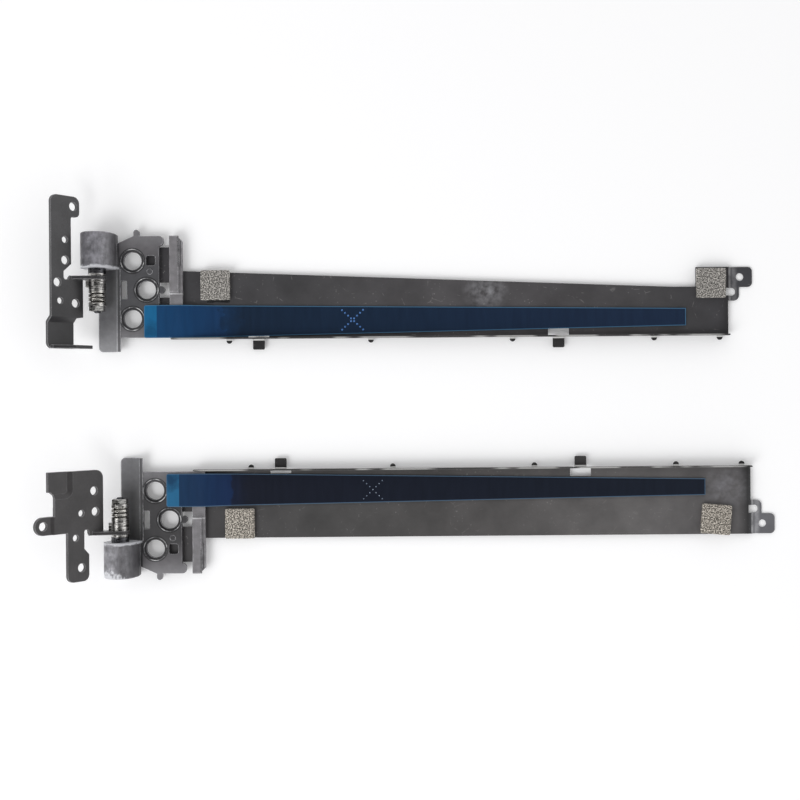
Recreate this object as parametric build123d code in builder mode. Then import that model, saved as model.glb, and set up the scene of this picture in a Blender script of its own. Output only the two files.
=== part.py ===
from build123d import *
import math
import os

# A pair of lid hinges for a notebook computer, right and left, lying on a table with
# the side that holds the display panel facing up. Each hinge joins a base bracket, which
# is screwed to the computer's base, to a cast lid bracket and a long steel arm.
#
# Both hinges are drawn in one hinge frame: X runs along the arm from the shaft's axis,
# Y is zero at the barrel's inner face and positive into the barrel, Z is zero on the
# table. The right hinge stands as drawn and the left one is its mirror image in Y.
# All sizes are in millimetres.

# Where the two hinges lie
pair_spacing = 97.0
pair_stagger = 7.5

# Opening of the hinge: a base bracket in line with the arm is at 180 degrees
lid_opening = 130.0

# Barrel and shroud of the cast lid bracket
axis_height = 6.0
barrel_diameter = 11.4
barrel_length = 12.5
barrel_heel = 6.3
heel_height = 4.6
shroud_length = 29.5
shroud_radius = 7.0
shroud_centre = 1.8
shroud_reach = 1.0
shroud_wall = 1.2
shroud_lip = 0.3

# Mounting plate of the cast lid bracket
plate_thickness = 1.6
plate_left = 7.5
plate_right = 21.3
plate_top = 11.8
plate_bottom = -24.5
plate_shoulder = 9.3
screw_seat_diameter = 8.4
screw_seat_depth = 0.6
post_hole_diameter = 6.3
outer_holes_x = 11.8
inner_hole_x = 16.85
post_hole_middle = -7.4
post_hole_span = 20.7
locating_nub_width = 2.0
locating_nub_length = 2.3
window_nub_radius = 1.35
key_hole = (3.3, 3.6)
key_hole_centre = (18.3, 3.05)
cable_slot = (2.2, 6.4)

# Tall bar at the arm's root and the bridge that joins it to the plate
bar_left = 25.1
bar_width = 3.3
bar_height = 2.5
bar_ledge = 1.2
bar_step = -8.5
bridge_top = -13.3
rib_groove_width = 0.35
rib_groove_depth = 0.5
rib_groove_ends = (1.0, 10.2)

# Stakes of the casting, peened under the arm
stake_diameter = 2.0
stake_head_diameter = 3.4
stake_head_height = 0.4
stake_centres = [(18.0, -0.9), (20.0, -16.0), (27.2, -19.0)]

# Shaft and what is threaded on it
journal_diameter = 4.0
shaft_seat_depth = 9.0
collar_diameter = 6.2
collar_thickness = 1.9
thrust_washer_thickness = 0.9
washer_diameter = 6.0
lug_washer_thickness = 2.75
lug_reach = 3.9
lug_hook = 1.2
lug_width = 1.5
lug_angle = 230.0
keyed_washer_thickness = 1.5
spring_count = 6
spring_thickness = 0.45
spring_cone_height = 0.25
end_washer_thickness = 1.0
nut_across_flats = 5.0
nut_height = 1.7
thread_diameter = 2.5
thread_overhang = 0.6
flat_distance = 3.2
running_clearance = 0.05
seat_clearance = 0.02

# Base brackets, cut and bent from steel sheet. The leaf's own frame has its origin on
# the shaft's axis, and "reach" is the distance from the axis along the leaf.
leaf_thickness = 1.2
leaf_drop = 5.0
leaf_bend_radius = 0.6
ear_head_radius = 3.2
ear_notch_slack = 0.3
right_leaf_near = 3.25
right_leaf_reach = 16.0
right_leaf_top = 25.0
right_leaf_bottom = -28.5
right_ear_width = 5.6
right_notch_width = 2.2
right_hook_inset = 1.3
right_hook_end = 17.8
right_body_inset = 4.75
right_body_end = 1.2
right_foot_inset = 2.4
right_joggle_depth = 2.4
right_joggle = (-17.4, -19.4)
tongue_height = 6.2
tongue_tip = 0.9
tongue_root = 2.6
left_leaf_near = 4.35
left_leaf_reach = 25.7
left_leaf_top = -25.8
left_leaf_bottom = 12.7
left_ear_width = 5.9
left_notch_width = 1.9
left_notch_depth = 1.1
left_leg_step = (1.4, 3.5)
left_leg_far = 18.8
left_body_far = 23.75
left_pan_relief = (24.8, -17.9, -18.9)
left_lug_bend = 24.0
left_pan_depth = 1.0
left_lug_drop = 0.8
left_pan_corner = (16.6, -16.5)
left_pan_wall_angle = 60.0
left_lug_centre = (27.75, -7.6)
left_lug_radius = 3.1
screw_hole_diameter = 3.0
dowel_hole_diameter = 2.3
right_screw_holes = [(7.1, 21.5), (10.4, 2.4), (13.5, -5.5), (6.3, -12.5)]
right_dowel_holes = [(10.45, 9.55), (12.45, -11.9)]
left_screw_holes = [(8.1, -18.5), (7.6, -11.2), (13.3, 7.9)]
left_dowel_holes = [(13.3, -11.0), (15.6, -2.6)]

# Steel arm
arm_thickness = 0.5
arm_height = 1.0
arm_left = 15.9
arm_length = 225.0
arm_root_top = 7.9
arm_edge = -0.6
arm_flange_line = -25.2
arm_window_width = 5.4
flange_height = 3.0
flange_start = 25.5
waist_start = 29.0
waist_depth = 7.0
waist_end = arm_length - 20.0
waist_step = arm_length - 11.6
nub_first = 46.0
nub_pitch = (arm_length - 21.8) / 4
nub_last = arm_length - 3.1
nub_diameter = 2.0
nub_reach = 1.6
tab_centres = [56.6, 164.1]
tab_width = 4.2
tab_reach = 3.8
window_width = 7.5
window_depths = [1.1, 2.9]
joggle_length = 1.2
end_tab_right = arm_length + 8.9
end_tab_bottom = -7.8
end_lug_right = arm_length + 4.2
end_lug_bottom = -12.7
end_hole_centre = (arm_length + 4.5, -4.2)
end_hole_diameter = 2.75
end_slot = (arm_length - 0.7, arm_length + 2.9, -8.1, -10.9)
end_slot_radius = 1.3

# Adhesive strip, its release liner and the foam gaskets
strip_left = 15.6
strip_right = arm_length - 15.3
strip_thickness = 0.35
strip_root_edges = (-12.6, -24.1)
strip_end_edges = (-15.3, -20.9)
strip_landing = 41.0
liner_thickness = 0.1
liner_margin = 0.3
gasket_size = (10.6, 10.9)
gasket_thickness = 1.6
gasket_chamfer = 0.4
gasket_root_centre = (41.3, -5.95)
right_gasket_end = (arm_length - 6.3, -6.4, 0.0)
left_gasket_end = (arm_length - 12.6, -5.95, 4.8)

# Levels above the table and stations along the shaft
sheet_top = arm_height + arm_thickness
plate_face = sheet_top + plate_thickness
collar_face = -collar_thickness
thrust_face = collar_face - thrust_washer_thickness
ear_outer = thrust_face - running_clearance
ear_inner = ear_outer - leaf_thickness
lug_washer_face = ear_inner - lug_washer_thickness
keyed_washer_start = lug_washer_face - running_clearance
spring_start = keyed_washer_start - keyed_washer_thickness
spring_pitch = spring_thickness + spring_cone_height
spring_end = spring_start - spring_count * spring_pitch
nut_start = spring_end - end_washer_thickness
nut_end = nut_start - nut_height
shaft_end = nut_end - thread_overhang

# Working planes and axes
shaft_axis = Axis((0, 0, axis_height), (0, 1, 0))
shaft_plane = Plane(origin=(0, 0, axis_height), z_dir=(0, 0, 1))
leaf_tilt = math.radians(180 - lid_opening)
leaf_along = (math.cos(leaf_tilt), 0, -math.sin(leaf_tilt))
leaf_normal = (math.sin(leaf_tilt), 0, math.cos(leaf_tilt))
leaf_plane = Plane(origin=(0, 0, axis_height), x_dir=leaf_along, z_dir=leaf_normal)
leaf_face = -leaf_drop + leaf_thickness

os.makedirs("parts", exist_ok=True)


def across_shaft(station):
    """Plane square to the shaft at a station, drawn with X along the arm and Y up."""
    return Plane(origin=(0, station, axis_height), x_dir=(1, 0, 0), z_dir=(0, -1, 0))


def across_leaf(station):
    """Plane square to the shaft at a station, drawn with X along the leaf."""
    return Plane(origin=(0, station, axis_height), x_dir=leaf_along, z_dir=(0, -1, 0))


def reach_points(points):
    """Outline points given as reach from the axis, turned into the leaf plane's X."""
    return [(-reach, y) for reach, y in points]


def make_ring(bore, outside, start, thickness, keyed=False):
    """Flat washer on the shaft, with a round bore or one with two flats."""
    with BuildPart() as ring:
        with BuildSketch(across_shaft(start)):
            Circle(outside / 2)
            Circle(bore / 2 + seat_clearance, mode=Mode.SUBTRACT)
            if keyed:
                with BuildSketch(mode=Mode.PRIVATE) as key_flats:
                    Circle(bore / 2 + seat_clearance)
                    Rectangle(flat_distance + 2 * seat_clearance, bore * 2, mode=Mode.INTERSECT)
                Circle(bore / 2 + seat_clearance)
                add(key_flats.sketch, mode=Mode.SUBTRACT)
        extrude(amount=thickness)
    return ring


def make_lid_bracket():
    """Zinc casting: barrel with its heel, shroud round the springs, plate and tall bar."""
    with BuildPart() as bracket:
        # Barrel, with flanks that run tangent to it down to the plate
        with BuildSketch(Plane.XZ):
            with BuildLine():
                CenterArc((0, axis_height), barrel_diameter / 2, 0, 360)
                Line((barrel_heel, sheet_top), (barrel_heel, heel_height))
            make_hull()
        extrude(amount=-barrel_length)
        chamfer(bracket.edges().group_by(Axis.Y)[-1], length=0.3)

        # Shroud, a curved wall that wraps the spring stack from below
        start_angle = -math.degrees(math.acos(-(shroud_reach + shroud_centre) / shroud_radius))
        lip_height = plate_face + shroud_lip
        inside_radius = shroud_radius - shroud_wall
        outer_end = -math.degrees(math.acos((plate_left - shroud_centre) / shroud_radius))
        inner_end = -math.degrees(math.asin((shroud_radius - lip_height) / inside_radius))
        with BuildSketch(Plane.XZ):
            with BuildLine():
                centre = (shroud_centre, shroud_radius)
                outer = CenterArc(centre, shroud_radius, start_angle, outer_end - start_angle)
                inner = CenterArc(centre, inside_radius, start_angle, inner_end - start_angle)
                Line(outer @ 0, inner @ 0)
                Polyline(outer @ 1, (plate_left, lip_height), inner @ 1)
            make_face()
        extrude(amount=shroud_length)
        free_corner = bracket.edges().group_by(Axis.Y)[0].sort_by(Axis.X)[0]
        fillet(free_corner, radius=1.6)

        # Mounting plate and bridge
        plate_under_lip = plate_left - 0.9
        with BuildSketch(Plane.XY.offset(sheet_top)):
            with BuildLine():
                Polyline(
                    (plate_under_lip, plate_bottom),
                    (bar_left + bar_width + bar_ledge, plate_bottom),
                    (bar_left + bar_width + bar_ledge, bridge_top),
                    (plate_right, bridge_top),
                    (plate_right, plate_top - 3.6),
                    (plate_right + 1.5, plate_top - 3.0),
                    (plate_right + 1.5, plate_top),
                    (outer_holes_x + 0.3, plate_top),
                    (barrel_heel - 0.3, plate_shoulder - 0.3),
                    close=True,
                )
            make_face()
            lobe = vertices().sort_by(Axis.X)[-4:].sort_by(Axis.Y)[-2:]
            fillet(lobe, radius=1.3)
            with Locations((plate_right + 0.6, post_hole_middle)):
                Circle(window_nub_radius)
            with Locations((outer_holes_x + 1.45, plate_top)):
                SlotOverall(2 * locating_nub_length, locating_nub_width, rotation=90)
        extrude(amount=plate_thickness)

        # Tall bar with a ledge along its outer side, and a ramp down to the bridge
        bar_right = bar_left + bar_width
        with BuildSketch(Plane.XY.offset(sheet_top)):
            with BuildLine():
                Polyline(
                    (bar_left, bridge_top),
                    (bar_right + bar_ledge, bridge_top),
                    (bar_right + bar_ledge, plate_top - 1.9),
                    (bar_right - 0.7, plate_top),
                    (bar_left, plate_top),
                    close=True,
                )
            make_face()
        extrude(amount=plate_thickness)
        ramp = bar_height - plate_thickness
        with BuildSketch(Plane.YZ.offset(bar_left)):
            with BuildLine():
                Polyline(
                    (bar_step - ramp / 2, plate_face - 0.2),
                    (bar_step - ramp / 2, plate_face),
                    (bar_step + ramp / 2, sheet_top + bar_height),
                    (plate_top - 0.4, sheet_top + bar_height),
                    (plate_top, sheet_top + bar_height - 0.4),
                    (plate_top, plate_face - 0.2),
                    close=True,
                )
            make_face()
        extrude(amount=bar_width)
        with BuildSketch(Plane.XY.offset(plate_face)):
            with Locations((bar_right + bar_ledge / 2, sum(rib_groove_ends) / 2)):
                Rectangle(rib_groove_width, rib_groove_ends[1] - rib_groove_ends[0])
        extrude(amount=-rib_groove_depth, mode=Mode.SUBTRACT)
        tall_edges = bracket.edges().filter_by(Axis.Y).filter_by_position(
            Axis.Z, sheet_top + bar_height - 0.01, sheet_top + bar_height + 0.01
        )
        chamfer(tall_edges, length=0.3)

        # Three holes for the cover's posts, each with a seat for a screw head
        post_holes = [
            (outer_holes_x, post_hole_middle + post_hole_span / 2),
            (inner_hole_x, post_hole_middle),
            (outer_holes_x, post_hole_middle - post_hole_span / 2),
        ]
        with BuildSketch(Plane.XY.offset(plate_face)):
            with Locations(*post_holes):
                Circle(screw_seat_diameter / 2)
        extrude(amount=-screw_seat_depth, mode=Mode.SUBTRACT)
        with BuildSketch(Plane.XY.offset(plate_face)):
            with Locations(*post_holes):
                Circle(post_hole_diameter / 2)
            with Locations(key_hole_centre):
                RectangleRounded(key_hole[0], key_hole[1], radius=0.7)
            with Locations((plate_left + 0.1 + cable_slot[0] / 2, post_hole_middle)):
                RectangleRounded(cable_slot[0], cable_slot[1], radius=0.25)
        extrude(amount=-plate_thickness - 1, mode=Mode.SUBTRACT)

        # Ejector mark on the plate, over the first stake
        with BuildSketch(Plane.XY.offset(plate_face)):
            with Locations(stake_centres[0]):
                Circle(stake_diameter / 2)
        extrude(amount=0.12)

        # Stakes that pass through the arm and are peened under it
        with BuildSketch(Plane.XY.offset(sheet_top)):
            with Locations(*stake_centres):
                Circle(stake_diameter / 2)
        extrude(amount=-arm_thickness)
        with BuildSketch(Plane.XY.offset(arm_height)):
            with Locations(*stake_centres):
                Circle(stake_head_diameter / 2)
        extrude(amount=-stake_head_height)

        # Seat for the shaft, bored into the barrel from its inner face
        with BuildSketch(across_shaft(shaft_seat_depth)):
            Circle(journal_diameter / 2 + seat_clearance)
        extrude(amount=shaft_seat_depth, mode=Mode.SUBTRACT)
    return bracket


def make_shaft():
    """Turned shaft: seat, collar, journal with two flats, and a threaded end."""
    keyed_length = keyed_washer_start - nut_start
    with BuildPart() as shaft:
        with BuildSketch(shaft_plane):
            with BuildLine():
                Polyline(
                    (0, shaft_seat_depth - 0.3),
                    (journal_diameter / 2, shaft_seat_depth - 0.3),
                    (journal_diameter / 2, 0),
                    (collar_diameter / 2, 0),
                    (collar_diameter / 2, collar_face),
                    (journal_diameter / 2, collar_face),
                    (journal_diameter / 2, nut_start),
                    (thread_diameter / 2, nut_start),
                    (thread_diameter / 2, shaft_end + 0.4),
                    (thread_diameter / 2 - 0.4, shaft_end),
                    (0, shaft_end),
                    close=True,
                )
            make_face()
        revolve(axis=shaft_axis)
        with BuildSketch(across_shaft(keyed_washer_start)):
            Circle(journal_diameter)
            Rectangle(flat_distance, 4 * journal_diameter, mode=Mode.SUBTRACT)
        extrude(amount=keyed_length, mode=Mode.SUBTRACT)
    return shaft


def make_lug_washer():
    """Friction washer whose lug hooks into the base bracket's ear."""
    with BuildPart() as washer:
        with BuildSketch(across_leaf(ear_inner)):
            Circle(washer_diameter / 2)
            with Locations(Rot(0, 0, lug_angle)):
                with Locations((lug_reach / 2, 0)):
                    Rectangle(lug_reach, lug_width)
            Circle(journal_diameter / 2 + running_clearance, mode=Mode.SUBTRACT)
        extrude(amount=lug_washer_thickness)
        with BuildSketch(across_leaf(ear_inner)):
            with Locations(Rot(0, 0, lug_angle)):
                with Locations((lug_reach - lug_hook / 2, 0)):
                    Rectangle(lug_hook, lug_width)
        extrude(amount=-leaf_thickness * 0.7)
    return washer


def make_disc_spring(index):
    """Coned disc spring; each one faces the other way from its neighbour."""
    start = spring_start - index * spring_pitch
    rim_first = index % 2 == 0
    inner_y = start - (spring_cone_height if rim_first else 0)
    outer_y = start - (0 if rim_first else spring_cone_height)
    bore = journal_diameter / 2 + running_clearance
    with BuildPart() as spring:
        with BuildSketch(shaft_plane):
            with BuildLine():
                Polyline(
                    (bore, inner_y),
                    (washer_diameter / 2, outer_y),
                    (washer_diameter / 2, outer_y - spring_thickness),
                    (bore, inner_y - spring_thickness),
                    close=True,
                )
            make_face()
        revolve(axis=shaft_axis)
    return spring


def make_nut():
    """Hexagon nut with its corners turned off at both faces."""
    with BuildPart() as nut:
        with BuildSketch(across_shaft(nut_start)):
            RegularPolygon(nut_across_flats / 2, 6, major_radius=False, rotation=30)
            Circle(thread_diameter / 2 + seat_clearance, mode=Mode.SUBTRACT)
        extrude(amount=nut_height)
        corner_radius = nut_across_flats / 2 / math.cos(math.pi / 6)
        with BuildSketch(shaft_plane):
            with BuildLine():
                Polyline(
                    (0, nut_start),
                    (corner_radius - 0.3, nut_start),
                    (corner_radius, nut_start - 0.3),
                    (corner_radius, nut_end + 0.3),
                    (corner_radius - 0.3, nut_end),
                    (0, nut_end),
                    close=True,
                )
            make_face()
        revolve(axis=shaft_axis, mode=Mode.INTERSECT)
    return nut


def add_ear(near, far):
    """Ear of a base bracket, from its fold on the leaf up to a round head on the shaft."""
    with BuildSketch(across_leaf(ear_outer)) as blank:
        with BuildLine():
            CenterArc((0, 0), ear_head_radius, 0, 360)
            Line((-near, -leaf_drop), (-far, -leaf_drop))
        make_hull()
    extrude(blank.sketch, amount=leaf_thickness)


def round_fold(bracket, near, far):
    """Bend along an ear's fold: a small radius inside, the sheet's thickness more outside."""
    middle = leaf_plane.from_local_coords((-(near + far) / 2, ear_inner, leaf_face))
    along = bracket.edges().filter_by(Axis(leaf_plane.origin, leaf_along))
    fillet(along.sort_by_distance(middle)[0], radius=leaf_bend_radius / 2)
    outside = leaf_bend_radius / 2 + leaf_thickness
    with BuildSketch(Plane(leaf_plane.origin, x_dir=(0, 1, 0), z_dir=leaf_along)) as corner:
        with Locations((ear_outer - outside / 2, outside / 2 - leaf_drop)):
            Rectangle(outside, outside)
        with Locations((ear_outer - outside, outside - leaf_drop)):
            Circle(outside, mode=Mode.SUBTRACT)
    extrude(corner.sketch, amount=-far, mode=Mode.SUBTRACT)


def cut_ear():
    """Journal hole and lug slot of an ear."""
    with BuildSketch(across_leaf(ear_outer)) as holes:
        Circle(journal_diameter / 2 + running_clearance)
        with Locations(Rot(0, 0, lug_angle)):
            with Locations((lug_reach - lug_hook / 2, 0)):
                Rectangle(lug_hook + 2 * seat_clearance, lug_width + 2 * seat_clearance)
    extrude(holes.sketch, amount=leaf_thickness, mode=Mode.SUBTRACT)


def make_right_base_bracket():
    """Tall base bracket: long leaf with a hooked end, joggled foot and side tongue."""
    near = right_leaf_near
    reach = right_leaf_reach
    foot_face = leaf_face - right_joggle_depth
    notch_near = near + right_ear_width
    notch_far = notch_near + right_notch_width
    with BuildPart() as bracket:
        # Sheet seen from its edge, with the joggle to the foot
        with BuildSketch(Plane(leaf_plane.origin, x_dir=(0, 1, 0), z_dir=leaf_along)):
            with BuildLine():
                Polyline(
                    (right_leaf_top, leaf_face),
                    (right_joggle[0], leaf_face),
                    (right_joggle[1], foot_face),
                    (right_leaf_bottom, foot_face),
                    (right_leaf_bottom, foot_face - leaf_thickness),
                    (right_joggle[1] + 0.4, foot_face - leaf_thickness),
                    (right_joggle[0] + 0.4, leaf_face - leaf_thickness),
                    (right_leaf_top, leaf_face - leaf_thickness),
                    close=True,
                )
            make_face()
            joggle_bends = vertices().sort_by(Axis.X)[2:-2]
            fillet(joggle_bends, radius=leaf_bend_radius)
        extrude(amount=-reach)

        # Outline of the blank
        with BuildSketch(leaf_plane.offset(-3 * leaf_drop)):
            with BuildLine():
                Polyline(
                    *reach_points([
                        (reach, right_leaf_top),
                        (near + right_hook_inset, right_leaf_top),
                        (near + right_hook_inset, right_hook_end),
                        (near + right_body_inset, right_hook_end),
                        (near + right_body_inset, right_body_end),
                        (notch_far, ear_outer + right_hook_inset),
                        (notch_far, ear_inner - ear_notch_slack),
                        (notch_near, ear_inner - ear_notch_slack),
                        (notch_near, ear_outer),
                        (near, ear_outer),
                        (near, right_joggle[0]),
                        (near + right_foot_inset, right_joggle[0] - 0.4),
                        (near + right_foot_inset, right_leaf_bottom),
                        (reach, right_leaf_bottom),
                    ]),
                    close=True,
                )
            make_face()
            corners = vertices()
            fillet(corners.sort_by(Axis.Y)[-2:], radius=2.4)
            hook = vertices().sort_by_distance((-near - right_hook_inset, right_hook_end))[0]
            fillet(hook, radius=1.6)
            foot_corner = vertices().sort_by_distance((-reach, right_leaf_bottom))[0]
            fillet(foot_corner, radius=2.0)
            inner_hook = vertices().sort_by_distance((-near - right_body_inset, right_hook_end))[0]
            fillet(inner_hook, radius=0.8)
            for notch_side in (notch_far, notch_near):
                notch_end = (-notch_side, ear_inner - ear_notch_slack)
                fillet(vertices().sort_by_distance(notch_end)[0], radius=0.9)
        extrude(amount=6 * leaf_drop, mode=Mode.INTERSECT)

        # Ear on the shaft and the tongue at the foot's lower edge
        add_ear(near, notch_near)
        round_fold(bracket, near, notch_near)
        with BuildSketch(across_leaf(right_leaf_bottom + leaf_thickness)):
            foot = foot_face - leaf_thickness
            with BuildLine():
                Polyline(
                    *reach_points([
                        (reach - 1.2, foot),
                        (near + right_foot_inset, foot),
                        (near + right_foot_inset, foot + tongue_root),
                        (tongue_tip, foot + tongue_height - 1.6),
                        (tongue_tip, foot + tongue_height),
                        (near + 4.5, foot + tongue_height),
                        (reach - 1.2, foot + tongue_root),
                    ]),
                    close=True,
                )
            make_face()
            fillet(vertices().sort_by(Axis.X)[-2:], radius=0.7)
        extrude(amount=leaf_thickness)
        cut_ear()

        # Screw holes and the smaller dowel holes
        with BuildSketch(leaf_plane.offset(-leaf_drop)):
            with Locations(*reach_points(right_screw_holes)):
                Circle(screw_hole_diameter / 2)
            with Locations(*reach_points(right_dowel_holes)):
                Circle(dowel_hole_diameter / 2)
        extrude(amount=leaf_thickness, mode=Mode.SUBTRACT)
    return bracket


def make_left_base_bracket():
    """Wide base bracket: stamped pan in one corner, a leg and a stepped round lug."""
    near = left_leaf_near
    reach = left_leaf_reach
    notch_near = near + left_ear_width
    notch_far = notch_near + left_notch_width
    notch_end = ear_inner - left_notch_depth
    lug_x, lug_y = left_lug_centre
    lug_bend = left_lug_bend
    relief_near, relief_inner, relief_outer = left_pan_relief
    with BuildPart() as bracket:
        # Sheet seen from its edge, with the step to the lug
        with BuildSketch(across_leaf(left_leaf_bottom)):
            with BuildLine():
                Polyline(
                    *reach_points([
                        (0, leaf_face),
                        (lug_bend, leaf_face),
                        (lug_bend + 0.9, leaf_face - left_lug_drop),
                        (lug_x + left_lug_radius, leaf_face - left_lug_drop),
                        (lug_x + left_lug_radius, leaf_face - left_lug_drop - leaf_thickness),
                        (lug_bend + 0.5, leaf_face - left_lug_drop - leaf_thickness),
                        (lug_bend - 0.4, leaf_face - leaf_thickness),
                        (0, leaf_face - leaf_thickness),
                    ]),
                    close=True,
                )
            make_face()
            lug_bends = vertices().sort_by(Axis.X)[2:-2]
            fillet(lug_bends, radius=leaf_bend_radius)
        extrude(amount=left_leaf_bottom - lug_y + 2 * left_lug_radius)
        with BuildSketch(leaf_plane.offset(-leaf_drop)):
            upper_edge = lug_y - 2 * left_lug_radius
            with Locations((-reach / 2, (left_leaf_top + upper_edge) / 2)):
                Rectangle(reach, upper_edge - left_leaf_top)
        extrude(amount=leaf_thickness)

        # Pan stamped into the corner: its floor is pushed down, its two walls slope
        pan_x, pan_y = left_pan_corner
        pan_size = 2 * (reach - pan_x)
        pan_centre = (-pan_x - pan_size / 2, pan_y - pan_size / 2)
        with BuildSketch(leaf_plane.offset(-leaf_drop)):
            with Locations(pan_centre):
                RectangleRounded(pan_size - 1, pan_size - 1, radius=2.5)
        extrude(amount=-left_pan_depth, taper=left_pan_wall_angle)
        with BuildSketch(leaf_plane.offset(leaf_face)):
            with Locations(pan_centre):
                RectangleRounded(pan_size, pan_size, radius=3.0)
        extrude(amount=-left_pan_depth, taper=left_pan_wall_angle, mode=Mode.SUBTRACT)

        # Outline of the blank
        with BuildSketch(leaf_plane.offset(-3 * leaf_drop)):
            with BuildLine():
                Polyline(
                    *reach_points([
                        (reach, left_leaf_top),
                        (near, left_leaf_top),
                        (near, ear_outer),
                        (notch_near, ear_outer),
                        (notch_near, notch_end),
                        (notch_far, notch_end),
                        (notch_far, left_leg_step[0]),
                        (notch_near, left_leg_step[1]),
                        (notch_near, left_leaf_bottom),
                        (left_leg_far, left_leaf_bottom),
                        (left_leg_far, lug_y + left_lug_radius),
                        (lug_x, lug_y + left_lug_radius),
                        (lug_x, lug_y - left_lug_radius),
                        (left_body_far, lug_y - left_lug_radius),
                        (left_body_far, relief_inner),
                        (relief_near, relief_outer),
                        (reach, relief_outer),
                    ]),
                    close=True,
                )
            make_face()
            fillet(vertices().sort_by_distance((-near, left_leaf_top))[0], radius=2.9)
            fillet(vertices().sort_by(Axis.Y)[-2:], radius=2.3)
            for notch_side in (notch_far, notch_near):
                fillet(vertices().sort_by_distance((-notch_side, notch_end))[0], radius=0.8)
            with Locations((-lug_x, lug_y)):
                Circle(left_lug_radius)
        extrude(amount=6 * leaf_drop, mode=Mode.INTERSECT)

        add_ear(near, notch_near)
        round_fold(bracket, near, notch_near)
        cut_ear()

        # Screw holes and the smaller dowel holes
        with BuildSketch(leaf_plane.offset(-leaf_drop)):
            with Locations(*reach_points(left_screw_holes)):
                Circle(screw_hole_diameter / 2)
            with Locations(*reach_points(left_dowel_holes)):
                Circle(dowel_hole_diameter / 2)
        extrude(amount=leaf_thickness, mode=Mode.SUBTRACT)
        with BuildSketch(leaf_plane.offset(-leaf_drop - left_lug_drop)):
            with Locations((-lug_x, lug_y)):
                Circle(screw_hole_diameter / 2)
        extrude(amount=leaf_thickness, mode=Mode.SUBTRACT)
    return bracket


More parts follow.
